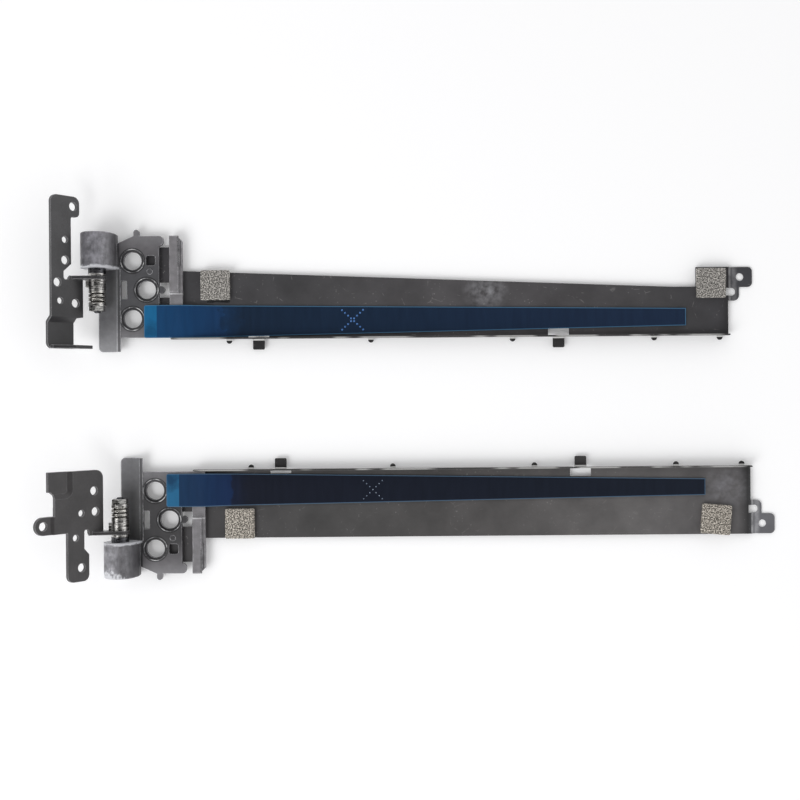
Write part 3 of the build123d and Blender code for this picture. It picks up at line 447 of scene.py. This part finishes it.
def dust_mask(tree, side, local, drift, wisps):
    """Specks of dust under half a millimetre, gathered where the coat is palest, and
    hairline scratches along the borders of large cells, broken by the wisps."""
    specks = add_node(tree, "TexVoronoi", {"Vector": local, "Scale": 0.7})
    small = add_node(tree, "MapRange",
                     {"Value": specks.outputs["Distance"], "From Min": 0.2, "From Max": 0.05})
    cluster = add_node(tree, "MapRange", {"Value": drift, "From Min": 0.5, "From Max": 0.68})
    dust = add_node(tree, "Math", {0: small.outputs[0], 1: cluster.outputs[0]},
                    operation="MULTIPLY")
    hairs = add_node(tree, "TexVoronoi", {"Vector": local, "Scale": 0.13},
                     feature="DISTANCE_TO_EDGE")
    hair = add_node(tree, "MapRange",
                    {"Value": hairs.outputs["Distance"], "From Min": 0.02, "From Max": 0.005})
    broken = add_node(tree, "MapRange", {
        "Value": wisps, "From Min": 0.56, "From Max": 0.66,
        "To Max": {"right": 0.38, "left": 0.18}[side],
    })
    scratch = add_node(tree, "Math", {0: hair.outputs[0], 1: broken.outputs[0]},
                       operation="MULTIPLY")
    return add_node(tree, "Math", {0: dust.outputs[0], 1: scratch.outputs[0]},
                    operation="MAXIMUM").outputs[0]


def root_highlight_and_bare_top_mask(tree, x, y, z):
    """A painted highlight in a thin line at the tongues' roots, where the sheet was folded
    out, and bare steel in stretches along the flange's sheared top."""
    root = add_node(tree, "MapRange",
                    {"Value": y, "From Min": FLANGE_FOOT - 0.55, "From Max": FLANGE_FOOT - 0.5})
    outside = add_node(tree, "MapRange",
                       {"Value": y, "From Min": FLANGE_FOOT - 0.02, "From Max": FLANGE_FOOT - 0.06})
    fold = add_node(tree, "Math", {0: root.outputs[0], 1: outside.outputs[0]}, operation="MULTIPLY")
    high = add_node(tree, "MapRange",
                    {"Value": z, "From Min": FLANGE_TOP - 0.45, "From Max": FLANGE_TOP - 0.25})
    stretch = add_node(tree, "TexNoise", {"W": x, "Scale": 0.045, "Detail": 2.0},
                       noise_dimensions="1D")
    bright = add_node(tree, "MapRange", {
        "Value": stretch.outputs[0], "From Min": 0.47, "From Max": 0.55, "To Max": 0.42,
    })
    sheared = add_node(tree, "Math", {0: high.outputs[0], 1: bright.outputs[0]},
                       operation="MULTIPLY")
    return add_node(tree, "Math", {0: fold.outputs[0], 1: sheared.outputs[0]},
                    operation="MAXIMUM").outputs[0]


def step_highlight_mask(tree, x, wisps):
    """Two painted highlights across the step down to the end tab, grained by the wisps."""
    bands = tones_along(tree, x, ARM_END, ARM_END + 4.0, STEP_HIGHLIGHTS)
    grained = add_node(tree, "MapRange", {
        "Value": wisps, "From Min": 0.35, "From Max": 0.6, "To Min": 0.35,
    })
    return add_node(tree, "Math", {0: bands, 1: grained.outputs[0]},
                    operation="MULTIPLY").outputs[0]


def coated_arm_steel(side):
    """Thin steel sheet with a dark conversion coat: a flat brown-black with drifts of
    dust, pale specks and short hairline scratches, wiped smears, a painted shadow line
    before the step to the end tab and painted highlights across the step, a painted
    highlight at the roots of the tongues, bare steel along the flange's sheared top, and
    pale edges, partly worn and partly a painted highlight."""
    material, tree, shader, local = start_material(f"coated_sheet_steel_{side}", side)
    shader.inputs["Roughness"].default_value = 0.42
    x, y, z = add_node(tree, "SeparateXYZ", {0: local}).outputs
    drift = add_node(tree, "TexNoise",
                     {"Vector": local, "Scale": 0.07, "Detail": 6.0, "Roughness": 0.6}).outputs[0]
    wisps = add_node(tree, "TexNoise",
                     {"Vector": local, "Scale": 0.4, "Detail": 5.0, "Roughness": 0.54}).outputs[0]
    # Pale edges: worn, and a painted highlight
    rolled, edge = edges_worn_and_lit(tree, 0.0002, 0.8)
    edge_wear_and_highlight = add_node(tree, "Math", {0: edge, 1: 0.22}, operation="MULTIPLY")
    colour = arm_ground(tree, side, x, y, z, drift)
    for mask, laid in [
        (smear_mask(tree, side, local, wisps), SMEARS[side]["colour"]),
        (dust_mask(tree, side, local, drift, wisps), "#8f8d8c"),
        # Painted highlight at the tongues' roots, bare steel on the flange's top
        (root_highlight_and_bare_top_mask(tree, x, y, z), "#e9e9e7"),
        # Painted highlights across the step
        (step_highlight_mask(tree, x, wisps), {"right": "#8f8e90", "left": "#b3b3b6"}[side]),
        (edge_wear_and_highlight.outputs[0], "#a3a19f"),
    ]:
        colour = add_node(tree, "Mix", {0: mask, 6: colour, 7: laid}, data_type="RGBA").outputs[2]
    tree.links.new(colour, shader.inputs["Base Color"])
    tree.links.new(rolled, shader.inputs["Normal"])
    return material


# Oiled steel, fabric, tape and film

def oiled_steel(name, dark, light, roughness):
    """Turned and oiled spring steel: bright metal with fine lathe rings round the shaft,
    mottled by oil film and dirt, so that each washer glints unevenly, and a painted
    highlight along each rim, where the edges are also polished."""
    material, tree, shader, local = start_material(name)
    shader.inputs["Metallic"].default_value = 1.0
    shader.inputs["Roughness"].default_value = roughness
    blotch = add_node(tree, "TexNoise",
                      {"Vector": local, "Scale": 0.8, "Detail": 4.0, "Roughness": 0.7})
    squeezed = add_node(tree, "Mapping", {"Vector": local, "Scale": (0.35, 3.2, 0.35)})
    lathe = add_node(tree, "TexNoise", {"Vector": squeezed.outputs[0], "Scale": 1.0})
    both = add_node(tree, "Math", {0: blotch.outputs[0], 1: lathe.outputs[0]})
    film = add_node(tree, "MapRange",
                    {"Value": both.outputs[0], "From Min": 0.84, "From Max": 1.16})
    # Painted highlight on each rim, where the edges are also polished
    rolled, edge = edges_worn_and_lit(tree, 0.00015, 0.85)
    polished_and_lit_rim = add_node(tree, "Math", {0: edge, 1: 0.6}, operation="MULTIPLY")
    bright = add_node(tree, "Math", {0: film.outputs[0], 1: polished_and_lit_rim.outputs[0]},
                      operation="MAXIMUM")
    colour = add_node(tree, "Mix", {0: bright.outputs[0], 6: dark, 7: light}, data_type="RGBA")
    bump = add_node(tree, "Bump", {
        "Height": both.outputs[0], "Strength": 0.32, "Distance": 0.0002, "Normal": rolled,
    })
    tree.links.new(colour.outputs[2], shader.inputs["Base Color"])
    tree.links.new(bump.outputs[0], shader.inputs["Normal"])
    return material


def conductive_fabric(side, dark, middle, light):
    """Nickel-plated woven fabric round foam: threads drawn 0.4 mm apart, coarser than
    real so that they show, which shine at random and read as salt and pepper."""
    material, tree, shader, local = start_material(f"conductive_woven_fabric_{side}", side)
    shader.inputs["Roughness"].default_value = 0.55
    thread = add_node(tree, "TexNoise",
                      {"Vector": local, "Scale": 2.3, "Detail": 2.0, "Roughness": 0.6})
    colour = add_node(tree, "ValToRGB", {"Fac": thread.outputs[0]},
                      stops=[(0.39, dark), (0.51, middle), (0.62, light)])
    bump = add_node(tree, "Bump",
                    {"Height": thread.outputs[0], "Strength": 0.35, "Distance": 0.00015})
    tree.links.new(colour.outputs[0], shader.inputs["Base Color"])
    tree.links.new(bump.outputs[0], shader.inputs["Normal"])
    return material


def black_adhesive():
    """Black stretch-release tape seen only at its cut edge: dull, slightly fibrous."""
    material, tree, shader, local = start_material("black_tape")
    shader.inputs["Roughness"].default_value = 0.7
    fibre = add_node(tree, "TexNoise", {"Vector": local, "Scale": 2.0})
    colour = add_node(tree, "ValToRGB", {"Fac": fibre.outputs[0]},
                      stops=[(0.3, "#101114"), (0.7, "#1b1d22")])
    tree.links.new(colour.outputs[0], shader.inputs["Base Color"])
    return material


# Film: where it starts and its pull tab ends, and for each side its blues, the places of
# its zones, and the Y of its two long edges at the bar and at the far end
FILM_START = 15.95
TAB_END = 20.45
FILM = {
    "right": {
        "seam": 43.0, "ragged": 3.4, "settles": 9.0, "half_wetted": "#17304e",
        "tab": "#1b6391", "tab_shade": "#174f76", "bridge": "#164068", "bridge_far": "#19365a",
        "wetted": "#16263a", "wetted_far": "#1b2a41", "edge": "#4d7a9c",
        "end": 209.7, "blot": (18.0, -21.9, 3.6),
        "root_edges": (-12.95, -24.65), "end_edges": (-15.3, -21.5),
    },
    "left": {
        "seam": 39.0, "ragged": 0.7, "settles": 6.0, "half_wetted": "#1b2338",
        "tab": "#2b668d", "tab_shade": "#1e4363", "bridge": "#1c3654", "bridge_far": "#1a2c4e",
        "wetted": "#181c28", "wetted_far": "#191f2b", "edge": "#5b7690",
        "end": 208.7, "blot": (17.4, -21.2, 3.6),
        "root_edges": (-12.0, -23.8), "end_edges": (-14.7, -20.6),
    },
}


def film_blues(tree, film, local, x):
    """The film's zones along the arm: the pull tab with a darker blot in its middle, the
    bridge down from the plate, and past a seam made ragged by trapped air the stretch
    that is wetted down, first half and then wholly."""
    bubbles = add_node(tree, "TexNoise",
                       {"Vector": local, "Scale": 0.32, "Detail": 3.0, "Roughness": 0.6})
    shift = add_node(tree, "MapRange", {
        "Value": bubbles.outputs[0], "From Min": 0.25, "From Max": 0.75,
        "To Min": -film["ragged"], "To Max": film["ragged"],
    })
    moved = add_node(tree, "Math", {0: shift.outputs[0], 1: x}).outputs[0]
    from_blot = add_node(tree, "VectorMath", {0: local, 1: film["blot"]}, operation="DISTANCE")
    blot = add_node(tree, "Math",
                    {0: shift.outputs[0], 1: 1.6 / film["ragged"], 2: from_blot.outputs["Value"]},
                    operation="MULTIPLY_ADD").outputs[0]

    # Each blend lies between two places and leads from one blue or blend to another
    blends = {}
    for name, place, start, end, before, after in [
        ("bridging", x, 20.0, film["seam"], film["bridge"], film["bridge_far"]),
        ("far", x, 50.0, 190.0, film["wetted"], film["wetted_far"]),
        ("settling", moved, film["seam"], film["seam"] + film["settles"],
         film["half_wetted"], "far"),
        ("strip", moved, film["seam"] - 0.3, film["seam"] + 0.3, "bridging", "settling"),
        ("tab", blot, 4.4, 1.2, film["tab"], film["tab_shade"]),
        ("whole", x, TAB_END + 0.1, TAB_END - 0.1, "strip", "tab"),
    ]:
        share = add_node(tree, "MapRange", {"Value": place, "From Min": start, "From Max": end})
        blends[name] = add_node(tree, "Mix", {
            0: share.outputs[0], 6: blends.get(before, before), 7: blends.get(after, after),
        }, data_type="RGBA").outputs[2]
    return blends["whole"]


def film_edge_mask(tree, film, x, y):
    """Line along the film's cut edges. It follows the distance to the nearest of the four,
    of which the two long ones draw together along the arm."""
    upper, lower = [add_node(tree, "MapRange", {
        "Value": x, "From Min": BAR_RIGHT, "From Max": film["end"],
        "To Min": root, "To Max": tip,
    }).outputs[0] for root, tip in zip(film["root_edges"], film["end_edges"])]
    nearest = None
    for high, low in [(upper, y), (y, lower), (film["end"], x), (x, FILM_START)]:
        gap = add_node(tree, "Math", {0: high, 1: low}, operation="SUBTRACT").outputs[0]
        nearest = gap if nearest is None else add_node(
            tree, "Math", {0: nearest, 1: gap}, operation="MINIMUM").outputs[0]
    return add_node(tree, "MapRange", {
        "Value": nearest, "From Min": 0.34, "From Max": 0.16, "To Max": 0.7,
    }).outputs[0]


def blue_release_film(side):
    """Clear blue polyester film: bright where it is a loose pull tab, mid blue where it
    bridges from the plate, nearly black where it is wetted down on the tape, and pale
    along its cut edges, which gather the light."""
    film = FILM[side]
    material, tree, shader, local = start_material(f"blue_polyester_film_{side}", side)
    shader.inputs["Roughness"].default_value = 0.22
    shader.inputs["Specular IOR Level"].default_value = 0.35
    x, y, _ = add_node(tree, "SeparateXYZ", {0: local}).outputs
    streak = add_node(tree, "Mapping", {"Vector": local, "Scale": (0.6, 0.08, 0.3)})
    folds = add_node(tree, "TexNoise",
                     {"Vector": streak.outputs[0], "Scale": 1.0, "Detail": 3.0})
    tone = add_node(tree, "MapRange", {
        "Value": folds.outputs[0], "From Min": 0.3, "From Max": 0.7,
        "To Min": 0.92, "To Max": 1.08,
    })
    toned = add_node(tree, "VectorMath",
                     {0: film_blues(tree, film, local, x), 3: tone.outputs[0]},
                     operation="SCALE")
    colour = add_node(tree, "Mix", {
        0: film_edge_mask(tree, film, x, y), 6: toned.outputs[0], 7: film["edge"],
    }, data_type="RGBA")
    tree.links.new(colour.outputs[2], shader.inputs["Base Color"])
    return material


def pressed_film(side, dark, light):
    """Film stretched thin by the tips of a perforating tool, so that each dot scatters
    light and looks paler than the film round it."""
    material, tree, shader, local = start_material(f"perforated_polyester_{side}", side)
    shader.inputs["Roughness"].default_value = 0.4
    each = add_node(tree, "TexNoise", {"Vector": local, "Scale": 1.3})
    colour = add_node(tree, "ValToRGB", {"Fac": each.outputs[0]},
                      stops=[(0.35, dark), (0.65, light)])
    tree.links.new(colour.outputs[0], shader.inputs["Base Color"])
    return material


# Finishes of the CAD nodes and of the new pieces

STEEL = {
    "shaft": oiled_steel("blackened_turned_steel", "#1e1e20", "#606064", 0.36),
    "washer": oiled_steel("ground_washer_steel", "#2f2e2d", "#d9d7d4", 0.28),
    "spring": oiled_steel("oiled_spring_steel", "#2b2926", "#e2dfd9", 0.25),
    "nut": oiled_steel("zinc_plated_steel", "#3d3d3c", "#d6d5d2", 0.3),
}
FABRIC = {
    "right": conductive_fabric("right", "#35322f", "#7e7b77", "#cac6c0"),
    "left": conductive_fabric("left", "#2f2b26", "#857e75", "#e0d9cd"),
}
BEAD_HIGHLIGHT = {side: bead_painted_highlight(side) for side in SIDES}
TAPE = black_adhesive()
BLUE_FILM = {side: blue_release_film(side) for side in SIDES}

for side in SIDES:
    finish = {
        "base_bracket": satin_black_steel(side),
        "lid_bracket": blackened_zinc(side),
        "arm": coated_arm_steel(side),
        "shaft": STEEL["shaft"],
        "nut": STEEL["nut"],
    }
    for washer in ("thrust", "lug", "keyed", "end"):
        finish[f"{washer}_washer"] = STEEL["washer"]
    for index in range(1, 7):
        finish[f"disc_spring_{index}"] = STEEL["spring"]
    for name, material in finish.items():
        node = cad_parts[f"{side}_{name}"]
        node.data.materials.clear()
        node.data.materials.append(material)


# New pieces

def grid_faces(rows, columns, close_rows):
    """Quads between neighbours of a grid of points counted row by row. Columns join up
    into rings, and the last row joins the first one where close_rows is true."""
    row, column = np.meshgrid(np.arange(rows if close_rows else rows - 1),
                              np.arange(columns), indexing="ij")
    below = (row + 1) % rows
    beside = (column + 1) % columns
    corners = (row * columns + column, below * columns + column,
               below * columns + beside, row * columns + beside)
    return np.stack(corners, axis=-1).reshape(-1, 4)


def ring_stack(rings):
    """Closed skin over rings of points that run anticlockwise seen from above, from the
    lowest ring to the highest, with a point in the middle of the first and of the last."""
    count, around, _ = rings.shape
    middles = [rings[0].mean(axis=0), rings[-1].mean(axis=0)]
    points = np.concatenate([rings.reshape(-1, 3), middles])
    here = np.arange(around)
    beside = (here + 1) % around
    low, high = np.full(around, count * around), np.full(around, count * around + 1)
    top = (count - 1) * around
    floor_fan = np.stack([low, beside, here], axis=-1)
    roof_fan = np.stack([high, top + here, top + beside], axis=-1)
    wall = grid_faces(count, around, False)[:, ::-1]
    return points, wall.tolist() + floor_fan.tolist() + roof_fan.tolist()


def new_piece(name, side, points, faces, material):
    """Makes a mesh from a hinge's millimetres and lets it ride with the lid's side. The
    left hinge is a mirror image, so its faces are turned round to face outwards."""
    if side == "left":
        faces = [face[::-1] for face in faces]
    mesh = bpy.data.meshes.new(name)
    mesh.from_pydata(to_frame(side, points).tolist(), [], faces)
    mesh.shade_smooth()
    mesh.materials.append(material)
    piece = bpy.data.objects.new(name, mesh)
    bpy.context.scene.collection.objects.link(piece)
    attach(piece, "lid_side")
    return piece


def seat_bead(side, index, centre):
    """Raised bead round a post hole's seat. A small ellipse, half sunk in the plate, is
    carried round a circle: its distance from the hole's middle is the circle's radius
    plus the ellipse's cosine, and its level is the plate's face plus the sine."""
    radius, half_width, half_height = 4.12, 0.13, 0.14
    turns, sections = 96, 12
    turn = np.linspace(0, 2 * np.pi, turns, endpoint=False)[:, None]
    section = np.linspace(0, 2 * np.pi, sections, endpoint=False)[None, :]
    reach = radius + half_width * np.cos(section)
    points = np.stack([
        centre[0] + reach * np.cos(turn),
        centre[1] + reach * np.sin(turn),
        PLATE_FACE + half_height * np.sin(section) + 0 * turn,
    ], axis=-1)
    new_piece(f"{side}_seat_bead_{index}", side, points.reshape(-1, 3),
              grid_faces(turns, sections, True).tolist(), BEAD_HIGHLIGHT[side])


def rounded_square(count, roundness):
    """Points evenly round the square from -1 to 1, pulled in at the corners: each point
    is divided by its length in a norm of the given high order."""
    place = np.linspace(0, 8, count, endpoint=False)
    x = np.clip(np.abs((place + 2) % 8 - 4) - 2, -1, 1)
    y = np.clip(np.abs(place % 8 - 4) - 2, -1, 1)
    square = np.stack([-x, -y], axis=-1)
    size = (np.abs(square) ** roundness).sum(axis=-1) ** (1 / roundness)
    return square / size[:, None]


def foam_gasket(side, which, centre, turn):
    """Fabric wrapped round a block of foam. Rounded squares are stacked from the
    underside, up the bulging wall, over a rolled edge and in across the top, which sinks
    a little towards the rolled edge and carries the threads' unevenness."""
    half_size = (5.3, 5.38)
    thickness, sink, edge_sink, unevenness = 1.6, 0.03, 0.05, 0.014

    # Share of the half size, and level, of each square
    wall = [(0.55, 0.0), (0.9, 0.0), (0.965, 0.06), (0.988, 0.3), (0.997, 0.8), (0.99, 1.25),
            (0.975, 1.43), (0.95, 1.53)]
    inward = np.linspace(0.92, 0.02, 30)
    roof = np.stack([inward, thickness - sink - edge_sink * inward ** 6], axis=-1)
    scale, level = np.concatenate([wall, roof]).T
    flat = scale[:, None, None] * rounded_square(160, 22)[None, :, :] * half_size
    rng = np.random.default_rng({"root": 5, "end": 9}[which])
    rough = rng.normal(0, unevenness, flat.shape[:2])
    rough[:2] = 0
    angle = math.radians(turn)
    spin = np.array([[math.cos(angle), math.sin(angle)], [-math.sin(angle), math.cos(angle)]])
    height = SHEET_TOP + level[:, None] + rough
    rings = np.concatenate([flat @ spin + centre, height[:, :, None]], axis=-1)
    points, faces = ring_stack(rings)
    piece = new_piece(f"{side}_{which}_gasket_pad", side, points, faces, FABRIC[side])
    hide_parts(f"{side}_{which}_gasket")


def tape_tail(side, left, right, edge, width):
    """End of the mounting tape that shows past the gasket's lower edge: a rounded strip
    0.12 mm thick whose free edge is frayed by a few tenths at random."""
    thickness, frayed = 0.12, 0.12
    outline = rounded_square(200, 20)
    rng = np.random.default_rng(3)
    fray = np.where(outline[:, 1] < -0.9, rng.uniform(-frayed, frayed, len(outline)), 0)
    x = (left + right) / 2 + outline[:, 0] * (right - left) / 2
    y = edge + (outline[:, 1] - 1) * width / 2 + fray
    rings = np.stack([np.column_stack([x, y, np.full(len(x), SHEET_TOP + level)])
                      for level in (0.0, thickness)])
    points, faces = ring_stack(rings)
    new_piece(f"{side}_gasket_tape", side, points, faces, TAPE)


def laid_strip(side, name, base, thick, inset, material):
    """Tape or film laid along the hinge. Its sections across the arm are thin closed loops,
    each as wide as the tapering strip is there, less a quarter circle at the two corners
    of the pull tab. Their level follows the plate, slopes down behind the bar and runs
    flat along the arm, with shallow cosine ripples where nothing holds the strip down."""
    film = FILM[side]
    corner, columns = 0.8, 16
    start, end, landed = FILM_START + inset, film["end"] - inset, STRIP_LANDING + 3
    x = np.concatenate([start + corner * (1 - np.cos(np.linspace(0, np.pi / 2, 8))),
                        np.linspace(start + corner, landed, 60)[1:],
                        np.linspace(landed, end, 40)[1:]])
    along = np.clip((x - BAR_RIGHT) / (film["end"] - BAR_RIGHT), 0, 1)
    tucked = np.clip(1 - (x - start) / corner, 0, 1)
    rounded = corner * (1 - np.sqrt(1 - tucked ** 2 * 0.98))
    high, low = [root + along * (tip - root) - inward * (inset + rounded) for root, tip, inward
                 in zip(film["root_edges"], film["end_edges"], (1, -1))]
    slope = np.clip((x - BAR_END) / (STRIP_LANDING - BAR_END), 0, 1)
    level = PLATE_FACE + slope * (SHEET_TOP - PLATE_FACE) + base
    across = np.linspace(0, 1, columns)[None, :]
    y = low[:, None] + across * (high - low)[:, None]
    wide = np.repeat(x[:, None], columns, axis=1)

    # Ripples up to 0.06 mm high and about 5 mm apart, in rows that lie askew
    ripple = 0.03 * (1 + np.cos(1.3 * wide) * np.cos(4 * across + 0.35 * wide))
    loose = np.sin(np.pi * np.clip((x - start) / (landed - start), 0, 1)) ** 2
    under = level[:, None] + loose[:, None] * ripple
    section = np.concatenate([np.stack([wide, y, under], axis=-1),
                              np.stack([wide, y, under + thick], axis=-1)[:, ::-1]], axis=1)
    rows, around, _ = section.shape
    wall = grid_faces(rows, around, False)[:, ::-1].tolist()
    caps = [list(range(around))[::-1], list(range((rows - 1) * around, rows * around))]
    piece = new_piece(f"{side}_{name}", side, section.reshape(-1, 3), wall + caps, material)
    piece.data.set_sharp_from_angle(angle=0.5)
    return piece


def perforation_cross(side, centre, reach, count, size, material):
    """Dots pressed in two crossing rows through the liner. Each dot is a flat dome: rings
    of eight points whose radius follows a cosine and whose height follows a sine."""
    dome_height, liner_top = 0.06, SHEET_TOP + TAPE_THICKNESS + FILM_THICKNESS
    steps = (np.arange(count) + 0.5) / count * 2 - 1
    first = np.stack([steps * reach[0], steps * reach[1]], axis=-1)
    second = first * (1, -1)
    dots = np.unique(np.round(np.concatenate([first, second]), 6), axis=0) + centre
    rise = np.radians([-60, -20, 20, 55])[:, None]
    turn = np.linspace(0, 2 * np.pi, 8, endpoint=False)[None, :]
    dome = np.stack([
        size / 2 * np.cos(rise) * np.cos(turn),
        size / 2 * np.cos(rise) * np.sin(turn),
        dome_height * np.sin(rise) + 0 * turn,
    ], axis=-1)
    points, faces = ring_stack(dome)
    places = np.column_stack([dots, np.full(len(dots), liner_top)])
    placed = points[None, :, :] + places[:, None, :]
    every = [[corner + index * len(points) for corner in face]
             for index in range(len(dots)) for face in faces]
    new_piece(f"{side}_liner_perforation", side, placed.reshape(-1, 3), every, material)


for side in SIDES:
    for index, centre in enumerate(POST_HOLES, 1):
        seat_bead(side, index, centre)
foam_gasket("right", "root", (41.25, -5.85), 0)
foam_gasket("left", "root", (41.95, -5.75), 0)
foam_gasket("right", "end", (218.7, -6.4), 0)
foam_gasket("left", "end", (212.4, -5.95), 4.8)
for side in SIDES:
    tape = laid_strip(side, "stretch_tape", 0.0, TAPE_THICKNESS, 0.3, TAPE)
    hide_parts(f"{side}_adhesive_strip")
    film = laid_strip(side, "pull_tab_film", TAPE_THICKNESS, FILM_THICKNESS, 0.0,
                      BLUE_FILM[side])
    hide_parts(f"{side}_release_liner")
tape_tail("right", 38.2, 46.3, -11.2, 0.75)
perforation_cross("right", (90.3, -18.6), (4.3, 4.0), 8, 0.75,
                  pressed_film("right", "#3563a0", "#4f7fbf"))
perforation_cross("left", (89.6, -17.5), (3.9, 3.8), 7, 0.45,
                  pressed_film("left", "#62728a", "#9aa6b5"))


# Floor, light and camera

def floor(reach):
    """A plain white table top that stays white to the camera and keeps soft shadows."""
    mesh = bpy.data.meshes.new("table_top")
    corners = [(-reach, -reach, 0), (reach, -reach, 0), (reach, reach, 0), (-reach, reach, 0)]
    mesh.from_pydata(corners, [], [(0, 1, 2, 3)])
    top = bpy.data.objects.new("table_top", mesh)
    bpy.context.scene.collection.objects.link(top)
    material = bpy.data.materials.new("matt_white_board")
    material.use_nodes = True
    tree = material.node_tree
    tree.nodes.clear()
    output = add_node(tree, "OutputMaterial")
    board = add_node(tree, "BsdfDiffuse", {"Color": "#fafafb"})
    path = add_node(tree, "LightPath")
    seen = add_node(tree, "Math",
                    {0: path.outputs["Is Camera Ray"], 1: path.outputs["Is Glossy Ray"]})
    glow = add_node(tree, "Math",
                    {0: seen.outputs[0], 1: path.outputs["Is Transmission Ray"]},
                    operation="MAXIMUM")
    strength = add_node(tree, "Math", {0: glow.outputs[0], 1: 0.1}, operation="MULTIPLY")
    lift = add_node(tree, "Emission", {"Color": "#ffffff", "Strength": strength.outputs[0]})
    shade = add_node(tree, "AddShader", {0: board.outputs[0], 1: lift.outputs[0]})
    tree.links.new(shade.outputs[0], output.inputs["Surface"])
    mesh.materials.append(material)


def lamp(name, place, size, power):
    """A soft square lamp that faces the middle of the table."""
    data = bpy.data.lights.new(name, "AREA")
    data.shape = "SQUARE"
    data.size = size
    data.energy = power
    made = bpy.data.objects.new(name, data)
    bpy.context.scene.collection.objects.link(made)
    made.location = place
    x, y, z = place
    made.rotation_euler = (math.atan2(math.hypot(x, y), z), 0, math.atan2(y, x) + math.pi / 2)


def light_tent(overhead, sides):
    """White tent round the table: dim overhead, where it opens for the camera, bright at
    the sides, and plain white where the camera itself sees it."""
    world = bpy.data.worlds.new("light_tent")
    world.use_nodes = True
    tree = world.node_tree
    tree.nodes.clear()
    output = add_node(tree, "OutputWorld")
    where = add_node(tree, "TexCoord")
    parts = add_node(tree, "SeparateXYZ", {0: where.outputs["Generated"]})
    level = add_node(tree, "MapRange", {
        "Value": parts.outputs["Z"], "From Min": 1.0, "From Max": 0.35,
        "To Min": overhead, "To Max": sides,
    })
    path = add_node(tree, "LightPath")
    strength = add_node(tree, "Math", {0: path.outputs["Is Camera Ray"], 1: level.outputs[0]},
                        operation="MAXIMUM")
    sky = add_node(tree, "Background", {"Color": "#ffffff", "Strength": strength.outputs[0]})
    tree.links.new(sky.outputs[0], output.inputs["Surface"])
    bpy.context.scene.world = world


def overhead_camera(height, half_width, middle, turn):
    """Camera straight above the table, at the photograph's distance and field of view. The
    middle of its picture is given in the right hinge's millimetres, its turn in degrees."""
    data = bpy.data.cameras.new("camera")
    data.angle = 2 * math.atan(half_width / height)
    camera = bpy.data.objects.new("camera", data)
    bpy.context.scene.collection.objects.link(camera)
    x, y, _ = ORIGINS["right"]
    camera.location = (x + middle[0] * MM, y + middle[1] * MM, height)
    camera.rotation_euler = (0, 0, math.radians(turn))
    bpy.context.scene.camera = camera


floor(reach=1.5)
light_tent(overhead=0.1, sides=1.3)
lamp("window", (-0.75, -0.7, 0.85), size=0.8, power=8.5)
overhead_camera(height=0.396, half_width=0.144, middle=(107.05, -47.47), turn=-0.45)
bpy.context.scene.view_settings.view_transform = "Standard"
